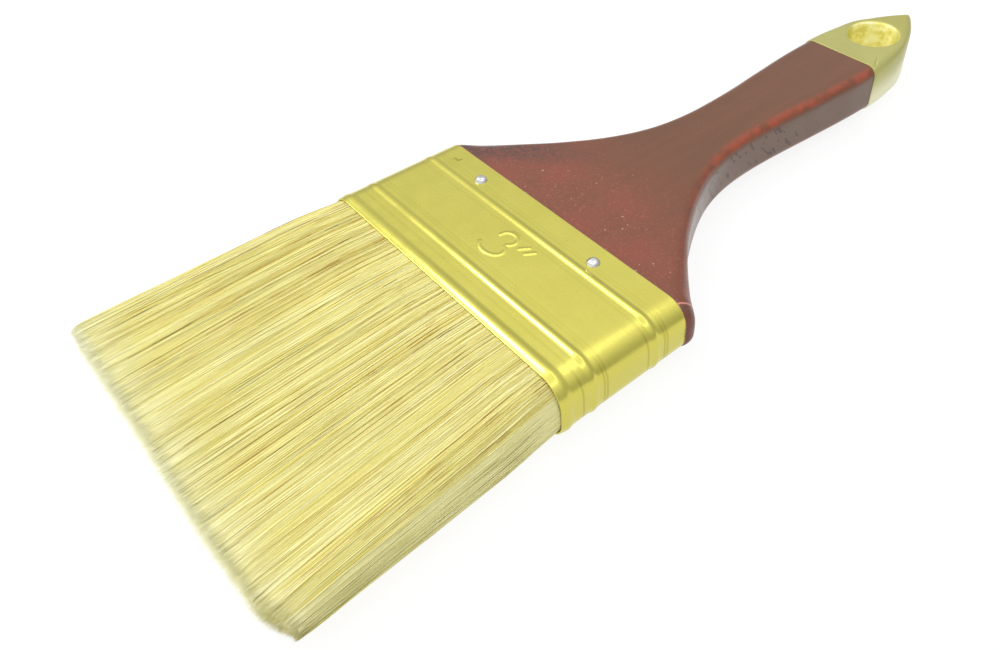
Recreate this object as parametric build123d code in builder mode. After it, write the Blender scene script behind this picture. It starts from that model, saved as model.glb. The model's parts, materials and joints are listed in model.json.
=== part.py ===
"""Flat paint brush, 75 mm (3 inch): hair in two banks, a beaded tinplate ferrule and a lacquered handle.

The brush lies flat. X is across the hair, +Y runs from the hair's tips to the handle's point, and +Z is
the front face. The origin is under the middle of the brush, on the surface that the ferrule's first bead
rests on. Distances called "depth" are along +Y, from the ferrule's mouth.
"""

import os

from build123d import *

# Driving dimensions, in millimetres
BRUSH_LENGTH = 205.8
HAIR_LENGTH = 59.0  # free hair, from the ferrule's mouth to the tips
HAIR_TIP_WIDTH = 84.6  # the hair flares a little across its width
HAIR_TIP_THICKNESS = 6.4  # and thins to a chisel edge
HAIR_TIP_CORNER = 3.1

FERRULE_LENGTH = 30.3
FERRULE_WALL = 0.4
MOUTH_WIDTH = 75.0  # the nominal 3 inch size
MOUTH_THICKNESS = 14.4
MOUTH_CORNER = 5.4
EDGE_WIDTH = 74.2  # the ferrule narrows towards the handle
EDGE_THICKNESS = 12.5
EDGE_CORNER = 5.0
BEAD_DEPTHS = (1.95, 7.8, 22.7)
BEAD_WIDTHS = (3.0, 2.2, 2.2)
BEAD_HEIGHT = 0.6
BEAD_ROUNDING = 0.5

ROOT_DEPTH = 14.0  # hair held inside the ferrule
RESIN_LENGTH = 3.5
PLUG_WIDTH = 56.0
PLUG_THICKNESS = 3.0
PLUG_DEPTH = 1.0  # the plug starts this far inside the mouth
ASSEMBLY_GAP = 0.05  # around pieces packed inside the ferrule
JOINT_GAP = 0.3  # between the held roots and the free hair
FLEX_RADIUS = 6.6  # round end of the free hair, about the line it flexes on

WOOD_ROUNDING = 2.4
# Half widths of the handle, at distances beyond the ferrule's edge
SHOULDER = ((37.2, 0), (33.6, 4.5), (24.0, 13.5), (18.8, 20))
GRIP = ((11.0, 34), (8.4, 52), (9.3, 68), (10.3, 90))
POINT_GROWTH = 1.6  # a coat reaches this many times its thickness beyond the sharp point
HANG_HOLE_RADIUS = 5.9
HANG_HOLE_DEPTH = 101.7  # beyond the ferrule's handle edge
HOLE_ROUNDING = 0.7
DIP_THICKNESS = 0.15
DIP_LENGTH = 27.3

NAIL_HEAD_RADIUS = 1.4
NAIL_HEAD_HEIGHT = 0.8
NAIL_HEAD_SHAPE = (0.7, 0.75)  # a point on the dome, as shares of the head's radius and height
NAIL_SHANK_RADIUS = 0.6
NAIL_LENGTH = 5.5
NAIL_POINT = 1.2
NAIL_PLACES = {"left": -19.2, "right": 16.5}  # driven by hand, a little off centre
NAIL_DEPTH = 25.85

# Derived sizes and places
WOOD_THICKNESS = EDGE_THICKNESS - 2 * (FERRULE_WALL + ASSEMBLY_GAP)
MOUTH_Y = HAIR_LENGTH - BRUSH_LENGTH / 2
EDGE_Y = MOUTH_Y + FERRULE_LENGTH
END_Y = BRUSH_LENGTH / 2
WOOD_END_Y = END_Y - DIP_THICKNESS * POINT_GROWTH
HOLE_Y = EDGE_Y + HANG_HOLE_DEPTH
DIP_Y = END_Y - DIP_LENGTH
HINGE_DEPTH = -(FLEX_RADIUS + JOINT_GAP)
TANG_DEPTH = ROOT_DEPTH + RESIN_LENGTH
CUT_SIZE = 2 * BRUSH_LENGTH  # larger than the brush, for half-spaces


def between(start, end, share):
    return start + (end - start) * share


def ferrule_section(depth, inset):
    """Width, thickness and corner radius of the ferrule at a depth, inside its outer face by inset."""
    share = depth / FERRULE_LENGTH
    width = between(MOUTH_WIDTH, EDGE_WIDTH, share) - 2 * inset
    thickness = between(MOUTH_THICKNESS, EDGE_THICKNESS, share) - 2 * inset
    return width, thickness, between(MOUTH_CORNER, EDGE_CORNER, share) - inset


def hair_section(depth):
    """The same for the free hair, whose depth is negative."""
    width, thickness, corner = ferrule_section(0, FERRULE_WALL + ASSEMBLY_GAP)
    share = -depth / HAIR_LENGTH
    tip = (HAIR_TIP_WIDTH, HAIR_TIP_THICKNESS, HAIR_TIP_CORNER)
    return tuple(between(a, b, share) for a, b in zip((width, thickness, corner), tip))


MID_Z = ferrule_section(BEAD_DEPTHS[0], -BEAD_HEIGHT)[1] / 2


def across(depth):
    """The plane across the brush at a depth, on the brush's middle line."""
    return Plane(origin=(0, MOUTH_Y + depth, MID_Z), x_dir=(1, 0, 0), z_dir=(0, 1, 0))


def rounded_block(start, start_size, end, end_size):
    """A straight taper between two rounded rectangles, each a width, a thickness and a corner radius."""
    with BuildPart() as block:
        for depth, size in ((start, start_size), (end, end_size)):
            with BuildSketch(across(depth)):
                RectangleRounded(*size)
        loft()
    return block.part


def ferrule_block(start, end, inset):
    """The ferrule's tapering shape between two depths, inside its outer face by inset."""
    return rounded_block(start, ferrule_section(start, inset), end, ferrule_section(end, inset))


def bead_ring(depth, width):
    """A solid bead with rounded rims; the band's inside is cut from it later."""
    with BuildPart() as ring:
        with BuildSketch(across(depth - width / 2)):
            RectangleRounded(*ferrule_section(depth, -BEAD_HEIGHT))
        extrude(amount=width)
        fillet(ring.faces().filter_by(Axis.Y).edges(), radius=BEAD_ROUNDING)
    return ring.part


def flex_cylinder(radius):
    """A cylinder about the line that the free hair flexes on."""
    with BuildPart() as cylinder:
        with BuildSketch(Plane.YZ.offset(-CUT_SIZE / 2)):
            with Locations((MOUTH_Y + HINGE_DEPTH, MID_Z)):
                Circle(radius)
        extrude(amount=CUT_SIZE)
    return cylinder.part


def slab(start_y, end_y):
    """Everything between two planes across the brush."""
    with BuildPart() as space:
        with Locations((0, (start_y + end_y) / 2, MID_Z)):
            Box(CUT_SIZE, end_y - start_y, CUT_SIZE)
    return space.part


def handle_blank(grow):
    """The visible handle with rounded edges and no hole, larger all round by grow."""
    outline = [(x + grow, EDGE_Y + y) for x, y in SHOULDER + GRIP]
    with BuildPart() as blank:
        with BuildSketch(Plane.XY.offset(MID_Z)):
            with BuildLine():
                side = Spline(*outline, tangents=[(0, 1), (0, 1)])
                tip = TangentArc(side @ 1, (0, WOOD_END_Y + grow * POINT_GROWTH), tangent=(0, 1))
                Polyline(tip @ 1, (0, EDGE_Y), side @ 0)
            make_face()
            mirror(about=Plane.YZ)
        extrude(amount=WOOD_THICKNESS / 2 + grow, both=True)
        rims = [
            edge
            for edge in blank.faces().filter_by(Axis.Z).edges()
            if edge.center().Y > EDGE_Y + WOOD_ROUNDING
        ]
        fillet(rims, radius=WOOD_ROUNDING)
    return blank.part


def hang_hole():
    """The hanging hole as a solid with flared ends."""
    half = WOOD_THICKNESS / 2
    straight = half - HOLE_ROUNDING
    flare = HANG_HOLE_RADIUS + HOLE_ROUNDING
    with BuildPart() as hole:
        with BuildSketch(Plane(origin=(0, HOLE_Y, MID_Z), x_dir=(1, 0, 0), z_dir=(0, -1, 0))):
            with BuildLine():
                Polyline(
                    (HANG_HOLE_RADIUS, straight),
                    (HANG_HOLE_RADIUS, 0),
                    (0, 0),
                    (0, half),
                    (flare, half),
                )
                CenterArc((flare, straight), HOLE_ROUNDING, 90, 90)
            make_face()
        revolve(axis=Axis((0, HOLE_Y, MID_Z), (0, 0, 1)))
        mirror(about=Plane.XY.offset(MID_Z))
    return hole.part


def nail(x, face):
    """A domed nail driven into one broad face: face is 1 for the front and -1 for the rear."""
    depth = NAIL_DEPTH
    surface = ferrule_section(depth, 0)[1] / 2
    origin = (x, MOUTH_Y + depth, MID_Z + face * surface)
    across_face = Plane(origin=origin, x_dir=(1, 0, 0), z_dir=(0, -face, 0))
    dome_point = (NAIL_HEAD_RADIUS * NAIL_HEAD_SHAPE[0], NAIL_HEAD_HEIGHT * NAIL_HEAD_SHAPE[1])
    with BuildPart() as body:
        with BuildSketch(across_face):
            with BuildLine():
                ThreePointArc((0, NAIL_HEAD_HEIGHT), dome_point, (NAIL_HEAD_RADIUS, 0))
                Polyline(
                    (NAIL_HEAD_RADIUS, 0),
                    (NAIL_SHANK_RADIUS, 0),
                    (NAIL_SHANK_RADIUS, NAIL_POINT - NAIL_LENGTH),
                    (0, -NAIL_LENGTH),
                    (0, NAIL_HEAD_HEIGHT),
                )
            make_face()
        revolve(axis=Axis((x, MOUTH_Y + depth, MID_Z), (0, 0, 1)))
    return body.part


def save(part, node):
    part.part.label = node
    export_step(part.part, f"parts/{node}.step")


os.makedirs("parts", exist_ok=True)

# Nails: two in each broad face, through the ferrule into the tang
nails = {
    f"nail_{face_name}_{side_name}": nail(x, face)
    for face_name, face in (("front", 1), ("rear", -1))
    for side_name, x in NAIL_PLACES.items()
}
for node, body in nails.items():
    with BuildPart() as nail_part:
        add(body)
    save(nail_part, node)

# Ferrule: a tapering band with three rolled beads all round and four nail holes
outer_band = ferrule_block(0, FERRULE_LENGTH, 0)
inner_band = ferrule_block(-BEAD_HEIGHT, FERRULE_LENGTH + BEAD_HEIGHT, FERRULE_WALL)
beads = [bead_ring(depth, width) for depth, width in zip(BEAD_DEPTHS, BEAD_WIDTHS)]
with BuildPart() as ferrule:
    add(outer_band)
    add(beads)
    add(inner_band, mode=Mode.SUBTRACT)
    add(nails.values(), mode=Mode.SUBTRACT)
save(ferrule, "ferrule")

# Free hair: a front and a rear bank, with one round end towards the held roots
free_hair = rounded_block(0, hair_section(0), -HAIR_LENGTH, hair_section(-HAIR_LENGTH))
collar = slab(MOUTH_Y + HINGE_DEPTH, MOUTH_Y + JOINT_GAP) - flex_cylinder(FLEX_RADIUS)
for node, side in (("bristles_front", Keep.TOP), ("bristles_rear", Keep.BOTTOM)):
    with BuildPart() as bank:
        add(free_hair)
        add(collar, mode=Mode.SUBTRACT)
        split(bisect_by=Plane.XY.offset(MID_Z), keep=side)
    save(bank, node)

# Held roots: the butts of both banks, hollowed to clear the free hair, around the spacer plug
plug_length = ROOT_DEPTH - PLUG_DEPTH
plug_middle = MOUTH_Y + PLUG_DEPTH + plug_length / 2
with BuildPart() as spacer_plug:
    with Locations((0, plug_middle, MID_Z)):
        Box(PLUG_WIDTH, plug_length, PLUG_THICKNESS)
save(spacer_plug, "spacer_plug")

packed_roots = ferrule_block(0, ROOT_DEPTH, FERRULE_WALL + ASSEMBLY_GAP)
root_collar = rounded_block(0, hair_section(0), HINGE_DEPTH, hair_section(HINGE_DEPTH))
flex_space = flex_cylinder(FLEX_RADIUS + JOINT_GAP)
for node, side in (("bristle_roots_front", Keep.TOP), ("bristle_roots_rear", Keep.BOTTOM)):
    with BuildPart() as roots:
        add(packed_roots)
        add(root_collar)
        add(flex_space, mode=Mode.SUBTRACT)
        add(spacer_plug.part, mode=Mode.SUBTRACT)
        split(bisect_by=Plane.XY.offset(MID_Z), keep=side)
    save(roots, node)

# Setting resin: the cast block between the butts and the tang
with BuildPart() as setting_resin:
    add(ferrule_block(ROOT_DEPTH, TANG_DEPTH, FERRULE_WALL + ASSEMBLY_GAP))
save(setting_resin, "setting_resin")

# Handle: one plank with a tang for the ferrule, a shaped grip and a hanging hole
tang_inset = FERRULE_WALL + ASSEMBLY_GAP
tang_size = ferrule_section(FERRULE_LENGTH, tang_inset)
wood_grip = handle_blank(0)
with BuildPart() as handle:
    add(rounded_block(TANG_DEPTH, tang_size, FERRULE_LENGTH, tang_size))
    add(wood_grip)
    add(hang_hole(), mode=Mode.SUBTRACT)
    add(nails.values(), mode=Mode.SUBTRACT)
save(handle, "handle")

# Dip: a thin lacquer coat over the handle's pointed end, up to the rims of the hanging hole
with BuildPart() as tip_dip:
    add(handle_blank(DIP_THICKNESS))
    add(slab(DIP_Y, END_Y + WOOD_ROUNDING), mode=Mode.INTERSECT)
    with Locations((0, HOLE_Y, MID_Z)):
        Hole(HANG_HOLE_RADIUS + HOLE_ROUNDING)
    add(handle.part, mode=Mode.SUBTRACT)
save(tip_dip, "tip_dip")
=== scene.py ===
"""A used 3 inch flat paint brush on a pale studio floor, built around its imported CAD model."""

import json
import math

import bpy
import numpy as np
from mathutils import Matrix, Vector, noise


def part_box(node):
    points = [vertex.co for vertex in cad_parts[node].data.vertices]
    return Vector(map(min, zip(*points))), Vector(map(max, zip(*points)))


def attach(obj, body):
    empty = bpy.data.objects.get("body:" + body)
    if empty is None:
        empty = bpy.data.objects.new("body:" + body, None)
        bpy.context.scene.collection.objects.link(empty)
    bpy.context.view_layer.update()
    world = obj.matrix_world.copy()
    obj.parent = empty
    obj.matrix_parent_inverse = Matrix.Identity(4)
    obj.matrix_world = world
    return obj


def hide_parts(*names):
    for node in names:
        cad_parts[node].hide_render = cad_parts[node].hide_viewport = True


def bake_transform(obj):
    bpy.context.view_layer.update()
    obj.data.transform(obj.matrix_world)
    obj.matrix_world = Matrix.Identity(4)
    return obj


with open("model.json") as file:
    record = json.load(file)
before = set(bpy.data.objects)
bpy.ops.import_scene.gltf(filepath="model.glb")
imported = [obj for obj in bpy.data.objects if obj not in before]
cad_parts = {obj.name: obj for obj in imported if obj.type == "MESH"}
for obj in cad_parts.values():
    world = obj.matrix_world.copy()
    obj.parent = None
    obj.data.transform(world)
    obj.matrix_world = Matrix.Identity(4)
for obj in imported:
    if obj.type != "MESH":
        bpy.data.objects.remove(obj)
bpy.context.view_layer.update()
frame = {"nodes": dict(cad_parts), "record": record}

# The brush's own coordinates are millimetres: x across, depth along it from the ferrule's mouth to the point of
# the handle, and height above its middle plane.
MM = 0.001
ferrule_low, ferrule_high = (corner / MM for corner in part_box("ferrule"))
MOUTH_Y = ferrule_low.y
MID_Z = (ferrule_low.z + ferrule_high.z) / 2
FERRULE_LENGTH = ferrule_high.y - ferrule_low.y
HAIR_LENGTH = MOUTH_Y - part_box("bristles_front")[0].y / MM
DIP_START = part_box("tip_dip")[0].y / MM - MOUTH_Y
POINT_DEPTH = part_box("tip_dip")[1].y / MM - MOUTH_Y
HOLE_DEPTH = frame["record"]["mounts"][0]["pos_m"][1] / MM - MOUTH_Y
HOLE_RADIUS = frame["record"]["mounts"][0]["dims"]["r_mm"]


def to_row(points):
    """Brush coordinates in millimetres to the row frame in metres."""
    return (np.asarray(points, float) + (0, MOUTH_Y, MID_Z)) * MM


def smooth(low, high, x):
    t = np.clip((x - low) / (high - low), 0, 1)
    return t * t * (3 - 2 * t)


def wobble(points, size, seed):
    """Smooth noise from -1 to 1 at each point, with features of about that size in millimetres."""
    flat = np.asarray(points, float).reshape(-1, 3) / size + seed * 17.3
    values = [noise.noise(Vector(p)) for p in flat]
    return np.array(values).reshape(np.shape(points)[:-1])


# ---------------------------------------------------------------- meshes

def new_piece(name, verts, faces, material, uv=None):
    """A smooth mesh piece from arrays of points and of four-sided faces."""
    mesh = bpy.data.meshes.new(name)
    verts = np.asarray(verts, np.float32).reshape(-1, 3)
    faces = np.asarray(faces, np.int32).reshape(-1, 4)
    mesh.vertices.add(len(verts))
    mesh.vertices.foreach_set("co", verts.ravel())
    mesh.loops.add(faces.size)
    mesh.loops.foreach_set("vertex_index", faces.ravel())
    mesh.polygons.add(len(faces))
    mesh.polygons.foreach_set("loop_start", np.arange(0, faces.size, 4, dtype=np.int32))
    mesh.polygons.foreach_set("use_smooth", np.ones(len(faces), bool))
    if uv is not None:
        layer = mesh.uv_layers.new(name="OFBake")
        layer.data.foreach_set("uv", np.asarray(uv, np.float32).ravel())
    mesh.update(calc_edges=True)
    mesh.validate()
    mesh.materials.append(material)
    piece = bpy.data.objects.new(name, mesh)
    bpy.context.scene.collection.objects.link(piece)
    return piece


def grid_faces(rows, columns, wrap_rows=False, wrap_columns=False):
    """Four-sided faces between the points of a grid, closed into a ring either way if asked."""
    last_row = rows if wrap_rows else rows - 1
    last_column = columns if wrap_columns else columns - 1
    i, j = np.meshgrid(np.arange(last_row), np.arange(last_column), indexing="ij")
    i2, j2 = (i + 1) % rows, (j + 1) % columns
    corners = [i * columns + j, i * columns + j2, i2 * columns + j2, i2 * columns + j]
    return np.stack(corners, -1).reshape(-1, 4)


def paint(piece, name, values):
    """A number per vertex that the piece's material reads."""
    attribute = piece.data.attributes.new(name, "FLOAT", "POINT")
    attribute.data.foreach_set("value", np.asarray(values, np.float32).ravel())


# ---------------------------------------------------------------- materials

class Nodes:
    """A material's nodes, in short calls."""

    def __init__(self, name, **values):
        self.material = bpy.data.materials.new(name)
        self.material.use_nodes = True
        self.tree = self.material.node_tree
        self.shader = self.tree.nodes["Principled BSDF"]
        for socket, value in values.items():
            self.shader.inputs[socket.replace("_", " ")].default_value = value

    def add(self, kind, properties=None, **links):
        node = self.tree.nodes.new("ShaderNode" + kind)
        for key, value in (properties or {}).items():
            setattr(node, key, value)
        for key, value in links.items():
            socket = node.inputs[int(key[1:])] if key[0] == "i" and key[1:].isdigit() else node.inputs[key]
            if isinstance(value, bpy.types.NodeSocket):
                self.tree.links.new(value, socket)
            else:
                socket.default_value = value
        return node

    def math(self, operation, a, b=0.0, clamp=False):
        return self.add("Math", {"operation": operation, "use_clamp": clamp}, i0=a, i1=b).outputs[0]

    def object_xyz(self):
        """The point's x, y and z in the row frame, in metres."""
        return self.add("SeparateXYZ", Vector=self.add("TexCoord").outputs["Object"]).outputs[:3]

    def noise(self, scale, detail=3.0, roughness=0.5, stretch=(1, 1, 1)):
        where = self.add("Mapping", Vector=self.add("TexCoord").outputs["Object"], Scale=stretch).outputs[0]
        return self.add("TexNoise", Vector=where, Scale=scale, Detail=detail, Roughness=roughness).outputs[0]

    def span(self, value, low, high, new_low=0.0, new_high=1.0):
        """The value from low to high, as a smooth step from new_low to new_high."""
        node = self.add("MapRange", {"interpolation_type": "SMOOTHSTEP"}, i0=value, i1=low, i2=high,
                        i3=new_low, i4=new_high)
        return node.outputs[0]

    def ramp(self, value, stops):
        node = self.add("ValToRGB", i0=value)
        elements = node.color_ramp.elements
        while len(elements) < len(stops):
            elements.new(0.5)
        for element, (at, colour) in zip(elements, stops):
            element.position = at
            element.color = (*colour, 1)
        return node.outputs[0]

    def mix(self, share, a, b):
        """Colour a towards colour b, which may be three numbers, by share."""
        if not isinstance(b, bpy.types.NodeSocket):
            b = (*b, 1)
        return self.add("Mix", {"data_type": "RGBA"}, i0=share, i6=a, i7=b).outputs[2]

    def attribute(self, name):
        return self.add("Attribute", {"attribute_name": name}).outputs["Fac"]

    def bump(self, height, distance):
        self.set("Normal", self.add("Bump", Height=height, Distance=distance, Strength=1.0).outputs[0])

    def set(self, socket, value):
        self.tree.links.new(value, self.shader.inputs[socket])


DARK_BELOW = 0.006  # strands with u under this are nearly black in places
BROWN_BELOW = 0.024  # and under this, brown in places


def hair_material():
    """Each strand's u picks one of the shades, and v runs from its root to its flagged tip."""
    m = Nodes("blond_hair", Roughness=0.6, Specular_IOR_Level=0.3)
    u, v = m.add("SeparateXYZ", Vector=m.add("UVMap", {"uv_map": "OFBake"}).outputs[0]).outputs[:2]

    def streaks(across, along):
        x, y = m.math("MULTIPLY", u, across), m.math("MULTIPLY", v, along)
        where = m.add("CombineXYZ", X=x, Y=y).outputs[0]
        return m.add("TexNoise", {"noise_dimensions": "2D"}, Scale=1.0, Detail=2.0, Vector=where).outputs[0]

    uneven = m.math("MULTIPLY", m.math("SUBTRACT", streaks(170.0, 8.0), 0.5), 0.35)
    shade = m.math("ADD", u, uneven, clamp=True)
    body = m.ramp(shade, [(0.0, (0.63, 0.53, 0.135)), (0.15, (0.71, 0.625, 0.175)),
                          (0.5, (0.775, 0.715, 0.25)), (1.0, (0.84, 0.81, 0.43))])
    gold = m.math("MULTIPLY", m.span(streaks(233.0, 6.0), 0.58, 0.70), 0.35)
    body = m.mix(gold, body, (0.60, 0.43, 0.075))
    mark = m.span(streaks(233.0, 8.0), 0.49, 0.56)
    for below, colour in ((BROWN_BELOW, (0.44, 0.29, 0.05)), (DARK_BELOW, (0.06, 0.03, 0.008))):
        body = m.mix(m.math("MULTIPLY", m.span(u, below, below - 0.002), mark), body, colour)
    # Toward the tips the strands are painted paler, and nearly white in their last few hundredths. This is
    # partly the flagged ends' own paler colour and partly painted light: it stands in for light scattered
    # through the translucent tips and lifts the shade among them.
    tip = m.ramp(shade, [(0.0, (0.66, 0.61, 0.24)), (0.3, (0.77, 0.73, 0.34)), (1.0, (0.87, 0.85, 0.53))])
    toward_tip = m.mix(m.span(v, 0.80, 1.0, 0.0, 0.95), body, tip)
    m.set("Base Color", m.mix(m.span(v, 0.95, 0.99, 0.0, 0.8), toward_tip, (1.0, 0.99, 0.72)))
    return m.material


def core_material():
    """The mass of hair under the loose strands: the same shades as fine streaks along the brush."""
    m = Nodes("packed_hair", Roughness=0.7, Specular_IOR_Level=0.2)
    fine = m.noise(900.0, 2.0, stretch=(1, 0.02, 1))
    broad = m.noise(160.0, 2.0, stretch=(1, 0.05, 1))
    shade = m.math("ADD", m.math("MULTIPLY", fine, 0.7), m.math("MULTIPLY", broad, 0.3))
    body = m.ramp(shade, [(0.35, (0.68, 0.56, 0.15)), (0.5, (0.78, 0.70, 0.22)), (0.65, (0.85, 0.79, 0.32))])
    # Behind the tips the core is painted nearly white. This is partly the pale colour of the hair's ends and
    # partly painted light that lifts the shade deep among the strands' ends.
    ends = m.ramp(m.noise(2600.0, 1.0), [(0.35, (0.76, 0.71, 0.34)), (0.5, (0.93, 0.90, 0.54)),
                                         (0.65, (1.0, 0.99, 0.76))])
    m.set("Base Color", m.mix(m.attribute("tip"), body, ends))
    m.bump(fine, 0.0003)
    return m.material


def tinplate_material():
    """Gold lacquer over tinplate: satin and faintly cloudy, with handling marks, painted shade along the rolled
    lines and on the narrow sides, and a painted highlight on the end edge.
    """
    m = Nodes("gold_tinplate", Metallic=1.0)
    cloud = m.noise(70.0, 4.0, 0.6)
    tone = m.ramp(cloud, [(0.3, (0.67, 0.615, 0.125)), (0.7, (0.695, 0.64, 0.14))])
    mark = m.span(m.noise(1400.0, 1.0), 0.75, 0.79)
    tone = m.mix(m.math("MULTIPLY", mark, 0.35), tone, (0.40, 0.35, 0.08))
    tone = m.mix(m.math("MULTIPLY", m.attribute("scratch"), 0.7), tone, (0.30, 0.22, 0.05))
    narrow = m.attribute("narrow_side")
    depth = m.math("SUBTRACT", m.math("MULTIPLY", m.object_xyz()[1], 1 / MM), MOUTH_Y)
    # Dark lines painted along the rolled creases, stronger on the narrow sides: painted shade in the creases.
    lines = 0.0
    for at in ROLLED_LINES:
        lines = m.math("ADD", lines, m.span(m.math("ABSOLUTE", m.math("SUBTRACT", depth, at)), 0.36, 0.10))
    lines = m.math("MULTIPLY", lines, m.span(narrow, 0.0, 1.0, 0.12, 0.5))
    # The narrow sides are painted darker than the front: painted shade.
    tone = m.mix(m.math("MULTIPLY", narrow, 0.8), tone, (0.60, 0.545, 0.105))
    tone = m.mix(lines, tone, (0.38, 0.33, 0.05))
    # A pinkish painted highlight on the sheet's last fifth of a millimetre at the handle end: a painted
    # reflection of the lacquered wood.
    m.set("Base Color", m.mix(m.attribute("painted_edge_glint"), tone, (0.70, 0.48, 0.26)))
    m.set("Roughness", m.span(m.noise(200.0, 4.0, 0.6), 0.25, 0.75, 0.22, 0.30))
    rolled = m.noise(1500.0, 3.0, 0.6, stretch=(0.01, 1, 0.01))
    m.bump(m.math("ADD", m.noise(2600.0, 2.0), m.math("MULTIPLY", rolled, 2.5)), 0.000006)
    return m.material


def varnish_thread(m):
    """A share of 1 on a thin run of varnish that crosses the right shoulder, next to the ferrule's corner."""
    x, y, z = (m.math("MULTIPLY", part, 1 / MM) for part in m.object_xyz())
    beyond = m.math("SUBTRACT", y, MOUTH_Y + FERRULE_LENGTH)
    offset = m.math("SUBTRACT", m.math("SUBTRACT", x, 34.3), m.math("MULTIPLY", beyond, 0.3))
    line = m.math("MULTIPLY", m.span(m.math("ABSOLUTE", offset), 0.26, 0.12), m.span(beyond, 4.0, 2.8))
    return m.math("MULTIPLY", line, m.span(z, MID_Z + 2.0, MID_Z + 3.0, 0.0, 0.8))


def lacquer_material():
    """Thin red-brown lacquer over pale wood: grain shows through, and it is redder along the edges, partly worn
    and partly a painted highlight, strongest on the upper right edge.
    """
    m = Nodes("lacquered_wood", Coat_Weight=0.08, Coat_Roughness=0.1)
    grain = m.noise(420.0, 5.0, 0.65, stretch=(1, 0.05, 1))
    broad = m.noise(60.0, 3.0, 0.5, stretch=(1, 0.25, 1))
    mixed = m.math("ADD", m.math("MULTIPLY", grain, 0.55), m.math("MULTIPLY", broad, 0.45))
    tone = m.ramp(mixed, [(0.36, (0.106, 0.038, 0.013)), (0.5, (0.122, 0.042, 0.014)),
                          (0.64, (0.138, 0.047, 0.016))])
    near = m.attribute("near_ferrule")
    redder = m.math("MULTIPLY", near, m.span(m.noise(90.0, 3.0), 0.3, 0.7, 0.45, 1.0))
    tone = m.mix(redder, tone, (0.198, 0.043, 0.019))
    fleck = m.math("MULTIPLY", near, m.span(m.noise(1900.0, 2.0), 0.56, 0.66, 0.0, 0.45))
    tone = m.mix(fleck, tone, (0.300, 0.085, 0.050))
    # Redder along the rounded edges: partly worn lacquer, partly a painted highlight along them.
    edge = m.math("MULTIPLY", m.attribute("edge"), m.span(m.noise(240.0, 4.0, 0.6), 0.36, 0.64, 0.25, 1.0))
    tone = m.mix(edge, tone, (0.330, 0.055, 0.020))
    # The narrow sides are painted greyer brown: a painted reflection in the gloss.
    tone = m.mix(m.math("MULTIPLY", m.attribute("side"), 0.8), tone, (0.130, 0.078, 0.052))
    rough = m.attribute("rough")
    dulled = m.math("MULTIPLY", rough, m.span(m.noise(1100.0, 4.0, 0.6), 0.40, 0.60, 0.35, 0.95))
    tone = m.mix(dulled, tone, (0.060, 0.028, 0.022))
    dust = m.math("MULTIPLY", near, m.span(m.noise(1100.0, 1.0), 0.74, 0.77))
    tone = m.mix(m.math("MULTIPLY", dust, 0.6), tone, (0.60, 0.42, 0.36))
    tone = m.mix(varnish_thread(m), tone, (0.62, 0.25, 0.19))
    x, y, z = m.object_xyz()
    lean = m.math("ADD", y, m.math("MULTIPLY", z, 0.7))
    slant = m.add("CombineXYZ", X=x, Y=lean, Z=m.math("MULTIPLY", z, 0.35)).outputs[0]
    strokes = m.add("TexNoise", Vector=slant, Scale=850.0, Detail=1.0).outputs[0]
    nicks = m.math("MULTIPLY", m.span(strokes, 0.63, 0.67, 0.0, 0.85), m.attribute("nicked"))
    m.set("Base Color", m.mix(nicks, tone, (0.040, 0.022, 0.016)))
    m.set("Roughness", m.span(m.noise(130.0, 4.0, 0.6), 0.3, 0.7, 0.24, 0.40))
    skin = m.math("ADD", m.math("MULTIPLY", grain, 0.6), m.math("MULTIPLY", rough, m.noise(1500.0, 3.0)))
    m.bump(m.math("SUBTRACT", skin, m.math("MULTIPLY", nicks, 2.0)), 0.00005)
    return m.material


def dip_material():
    """The pale gold coat on the handle's end, brushed out a little unevenly; inside the hole a painted glow
    with painted shade at its ends, and the low sides painted paler as painted light.
    """
    m = Nodes("gold_dip")
    cloud = m.noise(110.0, 4.0, 0.55)
    wall = m.attribute("wall")
    coat = m.ramp(cloud, [(0.3, (0.39, 0.375, 0.115)), (0.7, (0.43, 0.415, 0.135))])
    # Inside the hole the wall is painted bright yellow with soft mottling: a painted glow standing in for light
    # bouncing round the hole.
    painted_wall_glow = m.ramp(m.noise(480.0, 3.0, 0.6), [(0.36, (0.76, 0.69, 0.17)), (0.5, (0.92, 0.85, 0.28)),
                                               (0.64, (1.0, 0.98, 0.55))])
    # The hole's two ends are painted darker: painted shade.
    painted_wall_glow = m.mix(m.math("MULTIPLY", m.attribute("hole_end"), 0.8), painted_wall_glow, (0.50, 0.46, 0.07))
    coat = m.mix(m.math("MULTIPLY", m.attribute("near_point"), 0.7), coat, (0.40, 0.37, 0.09))
    # The lower part of the narrow sides is painted paler: painted light from the floor.
    coat = m.mix(m.math("MULTIPLY", m.attribute("low_side"), 0.8), coat, (0.80, 0.79, 0.55))
    m.set("Base Color", m.mix(wall, coat, painted_wall_glow))
    m.set("Metallic", m.span(wall, 0.0, 1.0, 0.42, 0.1))
    m.set("Roughness", m.span(m.noise(300.0, 3.0), 0.3, 0.7, 0.36, 0.46))
    m.bump(m.math("MULTIPLY", m.noise(600.0, 3.0), m.span(wall, 0.0, 1.0, 1.0, 4.0)), 0.00004)
    return m.material


def nail_material():
    m = Nodes("nail_steel", Metallic=1.0)
    m.set("Base Color", m.ramp(m.noise(900.0, 3.0), [(0.35, (0.50, 0.50, 0.50)), (0.6, (0.70, 0.70, 0.69))]))
    m.set("Roughness", m.span(m.noise(1500.0, 2.0), 0.3, 0.7, 0.12, 0.25))
    return m.material


def resin_material():
    m = Nodes("resin", Roughness=0.25)
    m.set("Base Color", m.ramp(m.noise(300.0, 3.0), [(0.3, (0.30, 0.17, 0.05)), (0.7, (0.48, 0.31, 0.10))]))
    return m.material


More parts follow.
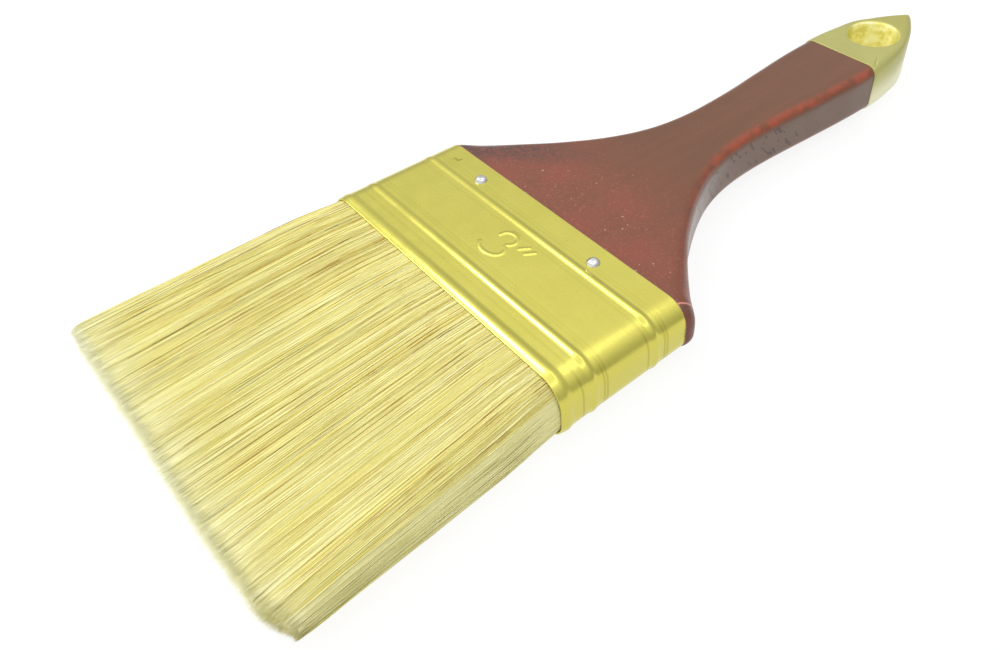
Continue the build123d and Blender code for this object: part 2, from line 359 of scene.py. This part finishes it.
def board_material():
    m = Nodes("plug_board", Roughness=0.8)
    grain = m.noise(500.0, 4.0, 0.6, stretch=(1, 0.1, 1))
    m.set("Base Color", m.ramp(grain, [(0.3, (0.42, 0.31, 0.18)), (0.7, (0.60, 0.47, 0.30))]))
    m.bump(grain, 0.0001)
    return m.material


def floor_material():
    m = Nodes("studio_paper", Roughness=0.9, Emission_Color=(1, 1, 1, 1), Emission_Strength=0.87)
    m.set("Base Color", m.ramp(m.noise(6.0, 2.0), [(0.0, (0.12, 0.12, 0.12)), (1.0, (0.13, 0.13, 0.13))]))
    return m.material


# ---------------------------------------------------------------- hair

FRONT_STRANDS, REAR_STRANDS, INNER_STRANDS, FLAG_STRANDS = 9200, 7000, 3200, 4200
LAYER = 0.09  # the outer strands' layer, as a share of the half thickness
COARSE_LOCKS, FINE_LOCKS = (17, 1.3), (52, 3.1)  # how many to the half width, and how far they lean
LOCK_SEED, STRAND_SEED = 5, 11
CORE_SHARE = 0.94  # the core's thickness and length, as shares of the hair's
CORE_END = 0.97
SQUARENESS = 20  # the power of the rounded section that the hair fills
SIDES, THIRD_OF_TURN = 3, 2.0944  # of a strand's section
SHADES = 256  # strips of the UV layer, one for each shade
# The stations along a strand, as shares of its length: the whole strand, its end, and its flagged tip.
FULL_STEPS = (-0.035, 0.03, 0.10, 0.17, 0.25, 0.55, 0.93, 1.0)
TIP_STEPS = (0.66, 0.80, 0.94, 1.0)
FLAG_STEPS = (0.86, 0.97, 1.012)
rng = np.random.default_rng(STRAND_SEED)


def hair_half_width(s):
    return 37.1 + 0.5 * smooth(0, 0.3, s) + 4.95 * s


def hair_half_thickness(s):
    return 6.85 + 0.4 * smooth(0, 0.14, s) - 3.8 * np.clip(s, 0, 1) ** 1.3


def edge_height(p):
    """How much of the half thickness is left at a share p of the half width."""
    return np.sqrt(np.clip(1 - np.abs(p) ** SQUARENESS, 0, 1))


def trimmed(p):
    """How much longer than usual the hair is at a share p of the half width: its corners are worn round."""
    left = 0.9 * np.clip(-p, 0, 1) ** 2 - 2.6 * smooth(0.91, 1.0, -p)
    return left - 0.7 * smooth(0.3, 0.8, p) - 2.9 * smooth(0.80, 1.0, p)


def strands(name, p, q, material, steps=FULL_STEPS, spread=1.0, width=(0.06, 0.10), shades=(0.026, 1.0)):
    """Tapered strands. p and q are the roots' places as shares of the half width and the half thickness.

    Neighbours share a coarse and a fine lock, which draw them together and shift them alike near the tips."""
    def lock(count, lean):
        """The number of each strand's lock, and the place of its middle."""
        number = np.round((p + 1) * count + q * lean)
        return number, number / count - 1 - q * lean / count

    n, points = len(p), len(steps)
    (coarse, centre), (fine, centre_fine) = lock(*COARSE_LOCKS), lock(*FINE_LOCKS)
    table = np.random.default_rng(LOCK_SEED).normal(size=(4, 4096))
    pick = (coarse * 13 + 700).astype(int) % 4096
    pick_fine = (fine * 7 + 2100).astype(int) % 4096
    length = HAIR_LENGTH - 0.3 - np.abs(rng.normal(0, 0.6, n)) * spread - 0.12 * np.abs(table[0, pick])
    length += trimmed(p)
    length -= (rng.random(n) < 0.06) * rng.random(n) * 7.0
    stray = (rng.random(n) < 0.02) & (np.abs(p) < 0.9) & (q > -0.5)
    cross = rng.normal(0, 0.004, n) + stray * rng.normal(0, 0.035, n)
    bow_x, bow_z = rng.normal(0, 0.12, n), rng.normal(0, 0.04, n)
    phase = rng.random(n) * 6.28
    lift = np.where(np.abs(cross) > 0.02, 0.2, 0.0)
    stations = np.array(steps) + np.zeros((n, 1))
    if steps is FULL_STEPS:  # the bends of neighbours fall at different places
        stations[:, 2:6] += rng.uniform(-0.012, 0.012, n)[:, None]
    along = stations * length[:, None]
    share = along / HAIR_LENGTH
    out = np.clip(share, 0, 1)
    pull = smooth(0.15, 1.0, share)
    px = p[:, None] + cross[:, None] * out
    px = px + (centre - p)[:, None] * pull * 0.08 + (centre_fine - p)[:, None] * pull * 0.14
    loose = smooth(0, 0.2, share)
    x = px * hair_half_width(share) + bow_x[:, None] * np.sin(share * 5 + phase[:, None]) * loose
    x = x + table[1, pick][:, None] * 0.14 * pull
    z = q[:, None] * hair_half_thickness(share) + lift[:, None] * np.sin(out * 3.14)
    z = z + np.sign(q)[:, None] * 0.035 * pull * (table[2, pick] + table[3, pick_fine])[:, None]
    z = z + bow_z[:, None] * np.sin(share * 4 + phase[:, None]) * loose
    path = np.stack([x, -along, z], -1)
    radius = rng.uniform(*width, n)[:, None] * (1 - 0.12 * out - 0.28 * smooth(0.93, 1.0, share))
    outward = np.arctan2(q, np.sign(p) * np.abs(p) ** (SQUARENESS - 1))  # one side of each strand faces out
    turn = (outward + math.pi / 3 + rng.uniform(-0.3, 0.3, n))[:, None]
    rings = []
    for k in range(SIDES):
        a = turn + k * THIRD_OF_TURN
        rings.append(path + np.stack([np.cos(a) * radius, np.zeros_like(radius), np.sin(a) * radius], -1))
    body = np.stack(rings, 2)  # strand, point, side, xyz
    body[:, -1] = path[:, -1:, :]
    base = (np.arange(n) * points * SIDES)[:, None, None]
    i = np.arange(points - 1)[None, :, None]
    k = np.arange(SIDES)[None, None, :]
    a, b = base + i * SIDES + k, base + i * SIDES + (k + 1) % SIDES
    faces = np.stack([a, b, b + SIDES, a + SIDES], -1).reshape(-1, 4)
    clump = rng.random(n) < 0.13
    shade = np.where(clump, (fine * 0.618 + coarse * 0.23) % 1.0, rng.random(n))
    shade = shades[0] + (shades[1] - shades[0]) * shade
    # Strands on the narrow sides get paler shades: painted light that lifts those sides, which the lamps leave
    # darker than the broad faces.
    shade = np.where((np.abs(p) > 0.97) & (shades[1] > 0.5), 0.7 + 0.3 * shade, shade)
    strip = np.floor(np.clip(shade, 0, 0.999) * SHADES)[:, None, None]
    u0 = (strip + 0.05 + 0.3 * k) / SHADES + 0 * i
    u1 = u0 + 0.3 / SHADES
    v0, v1 = out[:, :-1, None] + 0 * k, out[:, 1:, None] + 0 * k
    corners = ((u0, v0), (u1, v0), (u1, v1), (u0, v1))
    uv = np.stack([np.stack(corner, -1) for corner in corners], -2)
    return new_piece(name, to_row(body), faces, material, uv.reshape(-1, 2))


def surface_roots(n):
    """Roots in a layer below the broad faces, and round the narrow ones: (p, q), with q above 0."""
    p = rng.uniform(-1, 1, n)
    around = rng.random(n) < 0.14
    q = edge_height(p) * (1 - rng.random(n) ** 1.5 * LAYER)
    side = np.sign(p)
    q_side = rng.random(n)
    p_side = side * (1 - q_side ** 2) ** (1 / SQUARENESS) * (1 - rng.random(n) * 0.012)
    return np.where(around, p_side, p), np.where(around, q_side, q)


def build_core():
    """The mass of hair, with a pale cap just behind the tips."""
    rows, columns = 60, 420
    cap = (0.985, 0.95, 0.75, 0.4)
    s = np.append(np.linspace(-0.02, CORE_END, rows - len(cap)), [CORE_END] * len(cap))[:, None]
    shrink = np.append(np.ones(rows - len(cap)), cap)[:, None]
    angle = np.linspace(0, 2 * math.pi, columns, endpoint=False)[None, :]
    p = np.sign(np.cos(angle)) * np.abs(np.cos(angle)) ** (1 / 6)
    q = np.sign(np.sin(angle)) * edge_height(p)
    groove = 1 - 0.05 * np.abs(np.sin(angle * 61 + 2 * np.sin(s * 9)))
    x = p * shrink * (hair_half_width(s) - 0.45)
    z = q * shrink * hair_half_thickness(s) * CORE_SHARE * groove
    verts = np.stack([x, -s * (HAIR_LENGTH + trimmed(p * shrink)), z], -1)
    ends = np.array([[[0, HAIR_LENGTH * 0.02, 0]], [[0, -HAIR_LENGTH * CORE_END, 0]]])
    ends = ends * np.ones((2, columns, 3))
    verts = np.concatenate([ends[:1], verts, ends[1:]])
    faces = grid_faces(rows + 2, columns, wrap_columns=True)
    core = new_piece("hair_core", to_row(verts), faces, core_material())
    # Where the core is painted nearly white: partly the hair ends' pale colour, partly painted light.
    paint(core, "tip", np.concatenate([[[0.0]], smooth(0.75, 0.92, s), [[1.0]]]) + np.zeros(columns))
    return core


def build_hair():
    material = hair_material()
    pieces = []
    for bank, side, count in (("front", 1, FRONT_STRANDS), ("rear", -1, REAR_STRANDS)):
        p, q = surface_roots(count)
        for part, some in (("a", slice(0, count // 2)), ("b", slice(count // 2, count))):
            pieces.append(strands(f"hair_{bank}_{part}", p[some], side * q[some], material))
    p = rng.uniform(-0.985, 0.985, INNER_STRANDS)
    q = rng.uniform(-0.97, 0.97, INNER_STRANDS) * edge_height(p)
    pieces.append(strands("hair_inner", p, q, material, TIP_STEPS))
    p = rng.uniform(-0.995, 0.995, FLAG_STRANDS)
    q = rng.uniform(-1.0, 1.0, FLAG_STRANDS) * edge_height(p)
    pieces.append(strands("hair_flags", p, q, material, FLAG_STEPS, 1.3, (0.05, 0.08), (0.2, 1.0)))
    for name, side, count, shades in (("hair_brown_front", 1, 120, (0.004, BROWN_BELOW)),
                                      ("hair_dark_front", 1, 13, (0, 0)),
                                      ("hair_brown_rear", -1, 60, (0.004, BROWN_BELOW))):
        p = rng.uniform(-0.97, 0.97, count)
        q = side * edge_height(p) * rng.uniform(0.995, 1.015, count)
        pieces.append(strands(name, p, q, material, FULL_STEPS, 4.0, (0.055, 0.085), shades))
    pieces.append(build_core())
    for piece in pieces:
        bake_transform(piece)
    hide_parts("bristles_front", "bristle_roots_front")
    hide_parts("bristles_rear", "bristle_roots_rear")


# ---------------------------------------------------------------- ferrule

SHEET = 0.4  # the sheet's thickness
BEADS = ((1.7, 1.6, 0.34), (7.8, 1.15, 0.27), (22.7, 1.1, 0.26))  # depth, half width, height
ROLLED_LINES = (5.1, 10.0, 10.7, 20.6, 24.7, 25.4)  # depths of the fine lines
FLAT_HALF = 32.1  # half the width of the flat front, between the corners


def ferrule_size(depth):
    """Half the width, half the thickness and the corners' radius at a depth."""
    share = depth / FERRULE_LENGTH
    return 37.5 - 0.4 * share, 7.2 - 0.95 * share, 5.4 - 0.4 * share


def section_columns(front_x, corner_steps, side_steps, rear_steps):
    """Stations round a rounded rectangle: each one's share of the flats (a) and its outward normal (n)."""
    quarter = [(math.sin(t), math.cos(t)) for t in np.linspace(0, math.pi / 2, corner_steps)[1:-1]]
    stations = [((x, 1), (0, 1)) for x in front_x]
    stations += [((1, 1), (sin, cos)) for sin, cos in quarter]
    stations += [((1, t), (1, 0)) for t in np.linspace(1, -1, side_steps)]
    stations += [((1, -1), (cos, -sin)) for sin, cos in quarter]
    stations += [((x, -1), (0, -1)) for x in np.linspace(1, -1, rear_steps)]
    stations += [((-1, -1), (-sin, -cos)) for sin, cos in quarter]
    stations += [((-1, t), (-1, 0)) for t in np.linspace(-1, 1, side_steps)]
    stations += [((-1, 1), (-cos, sin)) for sin, cos in quarter]
    a, n = zip(*stations)
    return np.array(a), np.array(n)


def numeral_lines():
    """The size mark, a plain 3 with two inch strokes, as lines of (x, depth)."""
    top = [(0.2 + 2.1 * math.cos(t), 18.1 + 1.8 * math.sin(t)) for t in np.linspace(3.3, -0.95, 16)]
    low = [(-0.2 + 3.1 * math.cos(t), 14.4 + 2.1 * math.sin(t)) for t in np.linspace(0.95, -2.75, 18)]
    return [top, low, [(4.1, 17.8), (5.2, 19.5)], [(6.0, 17.7), (7.1, 19.4)]]


def distance_to_lines(x, y, lines):
    best = np.full(np.shape(x), 99.0)
    for line in lines:
        for (ax, ay), (bx, by) in zip(line, line[1:]):
            dx, dy = bx - ax, by - ay
            t = np.clip(((x - ax) * dx + (y - ay) * dy) / (dx * dx + dy * dy), 0, 1)
            best = np.minimum(best, np.hypot(x - ax - t * dx, y - ay - t * dy))
    return best


def build_ferrule():
    # Stations are close together where the scratch, the size mark and the beads are.
    front = np.concatenate([np.arange(-FLAT_HALF, -30.2, 0.5), np.arange(-30.1, -27.7, 0.15),
                            np.arange(-27.5, -4.2, 1.1), np.arange(-4, 9, 0.16),
                            np.linspace(9.1, FLAT_HALF, 22)]) / FLAT_HALF
    a, n = section_columns(front, 14, 7, 60)
    outer = np.concatenate([np.arange(0.12, 4.6, 0.16), np.arange(4.6, 6.3, 0.5), np.arange(6.3, 9.4, 0.13),
                            np.arange(9.4, 12, 0.5), np.arange(12, 20, 0.17), np.arange(20, 21.3, 0.5),
                            np.arange(21.3, 24.2, 0.13), np.arange(24.2, FERRULE_LENGTH - 0.1, 0.45)])
    end = FERRULE_LENGTH
    rows = [(d, 0.0) for d in outer]
    rows += [(end - 0.12, 0.0), (end - 0.03, -0.07), (end, -0.2), (end - 0.03, -0.33), (end - 0.12, -SHEET)]
    rows += [(d, -SHEET) for d in np.linspace(end - 1, 1, 12)]
    rows += [(0.12, -SHEET), (0.03, -0.33), (0, -0.2), (0.03, -0.07)]
    depth = np.array([r[0] for r in rows])[:, None]
    inset = np.array([r[1] for r in rows])[:, None]
    half_width, half_thickness, radius = (v[..., None] for v in ferrule_size(depth))
    half = np.concatenate([half_width, half_thickness], -1)
    out = 0 * depth + 0 * n[None, :, 0]
    narrow = 1 - 0.3 * np.abs(n[None, :, 0]) ** 2
    for at, reach, height in BEADS:
        ridge = np.where(np.abs(depth - at) < reach, 0.5 + 0.5 * np.cos((depth - at) / reach * math.pi), 0)
        out = out + height * narrow * ridge * (0.5 + 0.5 * smooth(-0.8, 0.5, a[None, :, 0]))
    for at in ROLLED_LINES:
        out = out - 0.1 * (1.2 - narrow) * np.exp(-((depth - at) / 0.16) ** 2)
    flat_front = (n[:, 1] > 0.99)[None, :]
    x_front = a[None, :, 0] * FLAT_HALF + 0 * depth
    mark = distance_to_lines(x_front, depth + 0 * x_front, numeral_lines())
    out = out + flat_front * 0.13 * np.clip(1 - (mark / 0.5) ** 2, 0, 1) ** 1.5
    seam = (n[:, 0] < -0.99)[None, :] * smooth(-0.25, -0.05, a[None, :, 1])
    out = out + 0.16 * seam
    skin = inset > -0.3
    offset = np.where(skin, out + inset, inset)
    centre = a[None, :, :] * (half - radius)
    flat = centre + (radius + offset[..., None]) * n[None, :, :]
    verts = np.stack([flat[..., 0], depth + 0 * flat[..., 0], flat[..., 1]], -1)
    dents = 0.025 * wobble(verts * (1, 0.6, 1), 13.0, 1) * skin
    outward = np.concatenate([n[None, :, :1], 0 * n[None, :, :1], n[None, :, 1:]], -1)
    verts = verts + outward * dents[..., None]
    faces = grid_faces(len(rows), len(a), True, True)[:, ::-1]
    piece = new_piece("ferrule_band", to_row(verts), faces, tinplate_material())
    # The rows at the sheet's end by the handle, which carry a painted pinkish highlight.
    glint_rows = (inset > -0.39) & (depth > FERRULE_LENGTH - 0.2)
    paint(piece, "painted_edge_glint", glint_rows + 0 * out)
    # How much each column faces sideways; the material paints shade on the narrow sides and along their rolled
    # lines from it.
    paint(piece, "narrow_side", n[None, :, 0] ** 2 + 0 * depth)
    scratch = distance_to_lines(x_front, depth + 0 * x_front, [[(-29.8, 26.2), (-28.4, 26.5), (-28.2, 27.2)]])
    paint(piece, "scratch", flat_front * smooth(0.35, 0.1, scratch))
    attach(piece, "handle_and_ferrule")
    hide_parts("ferrule")


# ---------------------------------------------------------------- handle

# Distances beyond the ferrule's edge, with half the handle's width there. After the last one, at the belly, the
# outline is an arc to the point.
WAIST = np.array([(0, 37.2), (4.5, 33.6), (13.5, 24.0), (20, 18.8), (34, 11.0), (52, 8.4), (68, 9.3),
                  (90, 10.3)])
BELLY = 90.0
HALF_WOOD = 5.8  # half the wood's thickness
LENGTH = POINT_DEPTH - FERRULE_LENGTH
COAT = 0.15  # the dip's thickness
TANG_START, TANG_HALF_WIDTH, TANG_CORNER = -13.0, 36.55, 4.4


def waist_slopes():
    """A smooth curve's slopes through the waist's points, with the end slopes given."""
    t, w = WAIST.T
    h = np.diff(t)
    n = len(t)
    matrix, right = np.zeros((n, n)), np.zeros(n)
    matrix[0, 0] = matrix[-1, -1] = 1
    for i in range(1, n - 1):
        matrix[i, i - 1], matrix[i, i], matrix[i, i + 1] = h[i], 2 * (h[i] + h[i - 1]), h[i - 1]
        right[i] = 3 * (h[i] * (w[i] - w[i - 1]) / h[i - 1] + h[i - 1] * (w[i + 1] - w[i]) / h[i])
    return np.linalg.solve(matrix, right)


SLOPES = waist_slopes()
ARC_RADIUS = ((LENGTH - BELLY) ** 2 + WAIST[-1, 1] ** 2) / (2 * WAIST[-1, 1])


def handle_half_width(t):
    """Half the handle's width at a distance beyond the ferrule's edge."""
    t = np.asarray(t, float)
    knots, widths = WAIST.T
    i = np.clip(np.searchsorted(knots, t) - 1, 0, len(knots) - 2)
    h = knots[i + 1] - knots[i]
    u = np.clip((t - knots[i]) / h, 0, 1)
    curve = ((2 * u ** 3 - 3 * u ** 2 + 1) * widths[i] + (u ** 3 - 2 * u ** 2 + u) * h * SLOPES[i]
             + (3 * u ** 2 - 2 * u ** 3) * widths[i + 1] + (u ** 3 - u ** 2) * h * SLOPES[i + 1])
    arc = np.sqrt(np.clip(ARC_RADIUS ** 2 - (t - BELLY) ** 2, 0, None)) - ARC_RADIUS + WAIST[-1, 1]
    return np.where(t > BELLY, np.clip(arc, 0, None), curve)


def slope_length(t):
    """How much longer the outline is than the axis, at a distance beyond the ferrule's edge."""
    step = 0.02
    return np.hypot(1, (handle_half_width(t + step) - handle_half_width(t - step)) / (2 * step))


def rounding(t):
    """The edges are rounded to match the ferrule's corners, and less along the grip."""
    return 2.6 + 2.2 * smooth(14, 0, t) - 1.0 * smooth(92, 110, t)


def build_wood():
    phi = np.linspace(0, math.pi / 2, 11)
    inner = np.linspace(1, 0, 9)[1:]
    wood_end = DIP_START - FERRULE_LENGTH + 1.2
    t = np.concatenate([[TANG_START], np.arange(-0.4, 12, 0.4), np.arange(12, wood_end, 0.6)])
    rows, marks = [], []
    for ti in t:
        tang = ti < 0
        w = TANG_HALF_WIDTH if tang else float(handle_half_width(ti))
        r = TANG_CORNER if tang else float(rounding(ti))
        stretch = 1.0 if tang else float(slope_length(max(ti, 0.03)))
        lump = 0.9 * math.exp(-((ti - 2.0) / 2.0) ** 2) * (not tang)
        d = r * (1 - np.cos(phi))
        x = w - d * stretch
        z = HALF_WOOD - r + r * np.sin(phi)
        x_in = x[-1] * inner
        half_x, half_z = np.concatenate([x, x_in]), np.concatenate([z, 0 * x_in + HALF_WOOD])
        edge = np.concatenate([np.sin(phi * 2) ** 2 * (phi > 0.35), 0 * x_in])
        top_x = np.concatenate([half_x, -half_x[-2::-1]])
        top_z = np.concatenate([half_z, half_z[-2::-1]])
        top_e = np.concatenate([edge, edge[-2::-1]])
        wall_z = np.linspace(z[0], -z[0], 8)[1:-1]
        ring_x = np.concatenate([top_x, 0 * wall_z - w, -top_x, 0 * wall_z + w])
        ring_x = ring_x + lump * smooth(w - 7, w, ring_x)
        ring_z = np.concatenate([top_z, wall_z, -top_z, -wall_z])
        ring_e = np.concatenate([top_e, 0 * wall_z, top_e, 0 * wall_z])
        rows.append(np.stack([ring_x, 0 * ring_x + FERRULE_LENGTH + ti, ring_z], -1))
        marks.append(ring_e)
    verts, marks = np.array(rows), np.array(marks)
    columns = verts.shape[1]
    outward = np.zeros_like(verts)
    outward[..., 2] = np.clip(verts[..., 2] / HALF_WOOD, -1, 1) ** 3
    outward[..., 0] = np.sign(verts[..., 0]) * (1 - np.abs(outward[..., 2]))
    visible = (verts[..., 1] > FERRULE_LENGTH) * smooth(DIP_START - 1, DIP_START - 7, verts[..., 1])
    verts = verts + outward * (0.10 * wobble(verts * (1, 0.5, 1), 9.0, 3) * visible)[..., None]
    caps = [np.ones((1, columns, 3)) * verts[i].mean(0) for i in (0, -1)]
    verts = np.concatenate([caps[0], verts, caps[1]])
    faces = grid_faces(len(verts), columns, wrap_columns=True)
    piece = new_piece("handle_wood", to_row(verts), faces, lacquer_material())
    marks = np.concatenate([marks[:1], marks, marks[-1:]])
    beyond = verts[..., 1] - FERRULE_LENGTH
    right = smooth(-4, 4, verts[..., 0])
    upper = smooth(0, 2, verts[..., 2])
    # The rounded edges' share, strongest on the upper right edge, where the red is partly a painted highlight.
    paint(piece, "edge", marks * (0.25 + 0.75 * right * upper) * smooth(14, 40, beyond))
    side = smooth(HALF_WOOD - 1.6, HALF_WOOD - 3.0, np.abs(verts[..., 2]))
    # Where the narrow sides are painted greyer, as a painted reflection.
    paint(piece, "side", side * smooth(3, 20, beyond))
    paint(piece, "nicked", side * smooth(26, 38, beyond) * smooth(78, 58, beyond))
    from_left = handle_half_width(beyond) + verts[..., 0]
    shoulder = smooth(16, 7, from_left) * smooth(22, 9, beyond)
    lumpy = 0.6 * smooth(4.5, 2.5, beyond) * smooth(33.6, 35.4, verts[..., 0])
    paint(piece, "rough", np.maximum(shoulder, lumpy))
    paint(piece, "near_ferrule", smooth(34, 6, beyond))
    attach(piece, "handle_and_ferrule")
    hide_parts("handle")


def build_dip():
    """The coat on the point, as rays from the hanging hole out to the handle's edge or to the dip's line."""
    line = DIP_START - FERRULE_LENGTH
    hole = HOLE_DEPTH - FERRULE_LENGTH
    edge_t = np.linspace(line, LENGTH, 400)
    edge_w = handle_half_width(edge_t) + COAT
    edge_w[-1] = 0
    edge_angle = np.arctan2(edge_t - hole, edge_w)
    corner = edge_angle[0]
    right = np.linspace(corner, math.pi / 2, 70)
    left = math.pi - right[-2::-1]
    floor_line = np.linspace(math.pi - corner, 2 * math.pi + corner, 56)[1:-1]
    angles = np.concatenate([right, left, floor_line])
    top = HALF_WOOD + COAT
    flare = 0.8
    rim_r = HOLE_RADIUS + flare
    phi = np.linspace(0, math.pi / 2, 9)
    half = []
    for angle in angles:
        ux, ut = math.cos(angle), math.sin(angle)
        inside = ut < 0 and abs(ux) * (line - hole) / ut < edge_w[0] + 1e-6
        on_line = inside and angle > math.pi - corner + 1e-6
        if on_line:
            reach = (line - hole) / ut
            tilt = 1.0
        else:
            side = abs(ux)
            reach = np.interp(math.atan2(ut, side), edge_angle, np.hypot(edge_w, edge_t - hole))
            t_hit = hole + reach * ut
            steep = max(float(slope_length(min(t_hit, LENGTH - 0.05))) ** 2 - 1, 0)
            slope = -math.sqrt(steep) if t_hit > BELLY else 0
            normal = np.array([1, -slope]) / math.hypot(1, slope)
            tilt = max(side * normal[0] + ut * normal[1], 0.3)
        r = min(float(rounding(hole + reach * ut)), (reach - rim_r) * tilt * 0.85)
        d = r * (1 - np.cos(phi[::-1]))
        out = reach - (np.linspace(0.4, 0, 9) if on_line else d / tilt)
        rho = np.concatenate([[HOLE_RADIUS] * 4, HOLE_RADIUS + flare * (1 - np.cos(phi[1:])),
                              np.linspace(rim_r, out[0], 16)[1:-1], out])
        z = np.concatenate([np.linspace(0, top - flare, 4), top - flare * (1 - np.sin(phi[1:])),
                            np.full(23, top)])
        x, t = rho * ux, hole + rho * ut
        inset = (handle_half_width(t) + COAT - np.abs(x)) / slope_length(np.minimum(t, LENGTH - 0.05))
        inset = np.clip(inset, 0, None)
        if on_line:
            r = float(rounding(line))
        drop = np.where(inset < r, r - np.sqrt(np.clip(r ** 2 - (r - inset) ** 2, 0, None)), 0)
        drop[:12] = 0
        if on_line:
            drop[-9:] += 0.06 * (1 - (reach - rho[-9:]) / 0.4) ** 2
        else:
            drop[-9:] = r - r * np.sin(phi)[::-1]
        z = z - drop
        wall = np.linspace(z[-1], 0, 5)[1:]
        x, t = np.append(x, np.full(4, x[-1])), np.append(t, np.full(4, t[-1]))
        z = np.append(z, wall)
        half.append(np.stack([x, FERRULE_LENGTH + t, z], -1))
    half = np.array(half)
    low = half[:, -2:0:-1] * (1, 1, -1)
    verts = np.concatenate([half, low], 1)
    away = smooth(DIP_START, DIP_START + 4, verts[..., 1])
    verts[..., 2] += 0.04 * wobble(verts, 7.0, 5) * np.sign(verts[..., 2]) * away
    faces = grid_faces(len(verts), verts.shape[1], True, True)
    piece = new_piece("handle_dip", to_row(verts), faces, dip_material())
    across = np.hypot(verts[..., 0], verts[..., 1] - HOLE_DEPTH)
    # The hole's wall, which carries the painted glow.
    paint(piece, "wall", smooth(HOLE_RADIUS + 0.5, HOLE_RADIUS + 0.1, across))
    # The hole's two ends, which are painted darker as painted shade.
    ends = np.abs(verts[..., 0] * 0.87 + (verts[..., 1] - HOLE_DEPTH) * 0.5) / HOLE_RADIUS
    paint(piece, "hole_end", smooth(0.72, 1.0, ends))
    # The lower part of the narrow sides, painted paler as painted light.
    low = smooth(3.5, -3.0, verts[..., 2]) * smooth(-5.9, -4.6, verts[..., 2])
    paint(piece, "low_side", low * (across > HOLE_RADIUS + 1))
    paint(piece, "near_point", smooth(POINT_DEPTH - 18, POINT_DEPTH - 6, verts[..., 1]))
    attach(piece, "handle_and_ferrule")
    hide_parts("tip_dip")


# ---------------------------------------------------------------- stage, light and camera

# The sky's level at each height of the direction. A bright ring near the top lights the beads and corners.
SKY = ((0.0, 0.38), (0.25, 0.42), (0.5, 0.53), (0.62, 0.65), (0.75, 0.76), (0.85, 0.82), (0.872, 1.9),
       (0.9, 1.9), (0.925, 0.85), (1.0, 0.9))
SKY_STRENGTH = 1.42
FRONT_GLOW = 0.55  # extra light, low down on the side that the hair points to
SOFTBOX_PLACE, SOFTBOX_SIZE, SOFTBOX_POWER = (-0.41, -0.18, 0.585), 0.28, 2.2
FLOOR_HALF = 2


def build_stage():
    """A white floor, a grey sky that is brighter high up and low in front, and a softbox."""
    verts = [(x * FLOOR_HALF, y * FLOOR_HALF, 0) for x, y in ((-1, -1), (1, -1), (1, 1), (-1, 1))]
    floor = new_piece("studio_floor", verts, [(0, 1, 2, 3)], floor_material())
    world = bpy.data.worlds.new("studio")
    bpy.context.scene.world = world
    world.use_nodes = True
    tree = world.node_tree
    way = tree.nodes.new("ShaderNodeSeparateXYZ")
    shade = tree.nodes.new("ShaderNodeValToRGB")
    tree.links.new(tree.nodes.new("ShaderNodeTexCoord").outputs["Generated"], way.inputs[0])
    tree.links.new(way.outputs["Z"], shade.inputs[0])
    front = tree.nodes.new("ShaderNodeMath")
    front.operation, front.use_clamp = "MULTIPLY", True
    front.inputs[1].default_value = -1.0
    tree.links.new(way.outputs["Y"], front.inputs[0])
    low = tree.nodes.new("ShaderNodeMapRange")
    for index, value in ((1, 0.6), (2, 0.2), (3, 0.0), (4, FRONT_GLOW)):
        low.inputs[index].default_value = value
    tree.links.new(way.outputs["Z"], low.inputs[0])
    glow = tree.nodes.new("ShaderNodeMath")
    glow.operation = "MULTIPLY"
    tree.links.new(front.outputs[0], glow.inputs[0])
    tree.links.new(low.outputs[0], glow.inputs[1])
    total = tree.nodes.new("ShaderNodeVectorMath")
    tree.links.new(shade.outputs[0], total.inputs[0])
    tree.links.new(glow.outputs[0], total.inputs[1])
    tree.links.new(total.outputs[0], tree.nodes["Background"].inputs[0])
    elements = shade.color_ramp.elements
    for at, _ in SKY[1:-1]:
        elements.new(at)
    for element, (at, level) in zip(elements, SKY):
        element.position = at
        element.color = (level, level, level, 1)
    tree.nodes["Background"].inputs[1].default_value = SKY_STRENGTH
    lamp = bpy.data.lights.new("softbox", "AREA")
    lamp.shape = "DISK"
    lamp.size = SOFTBOX_SIZE
    lamp.energy = SOFTBOX_POWER
    light = bpy.data.objects.new("softbox", lamp)
    light.location = SOFTBOX_PLACE
    light.rotation_euler = (-light.location).to_track_quat("-Z", "Y").to_euler()
    bpy.context.scene.collection.objects.link(light)
    bpy.context.scene.view_settings.view_transform = "Standard"


CAMERA_PLACE, CAMERA_AIM = (114.0, -59.8, 123.4), (12.4, 6.0, 0.0)  # in the brush's own coordinates
CAMERA_LENS, CAMERA_ROLL = 32.9, -6.55


def build_camera():
    data = bpy.data.cameras.new("camera")
    data.lens = CAMERA_LENS
    data.sensor_width = 36.0
    data.clip_start = 0.01
    camera = bpy.data.objects.new("camera", data)
    place, aim = Vector(to_row(CAMERA_PLACE)), Vector(to_row(CAMERA_AIM))
    roll = Matrix.Rotation(math.radians(CAMERA_ROLL), 3, "Z")
    turn = (aim - place).to_track_quat("-Z", "Y").to_matrix() @ roll
    camera.matrix_world = Matrix.Translation(place) @ turn.to_4x4()
    bpy.context.scene.collection.objects.link(camera)
    bpy.context.scene.camera = camera


build_hair()
build_ferrule()
build_wood()
build_dip()
nail_finish, resin_finish, board_finish = nail_material(), resin_material(), board_material()
for node, obj in frame["nodes"].items():
    finish = {"nail": nail_finish, "setting": resin_finish, "spacer": board_finish}.get(node.split("_")[0])
    if finish:
        for index in range(len(obj.material_slots)):
            obj.material_slots[index].material = finish
build_stage()
build_camera()
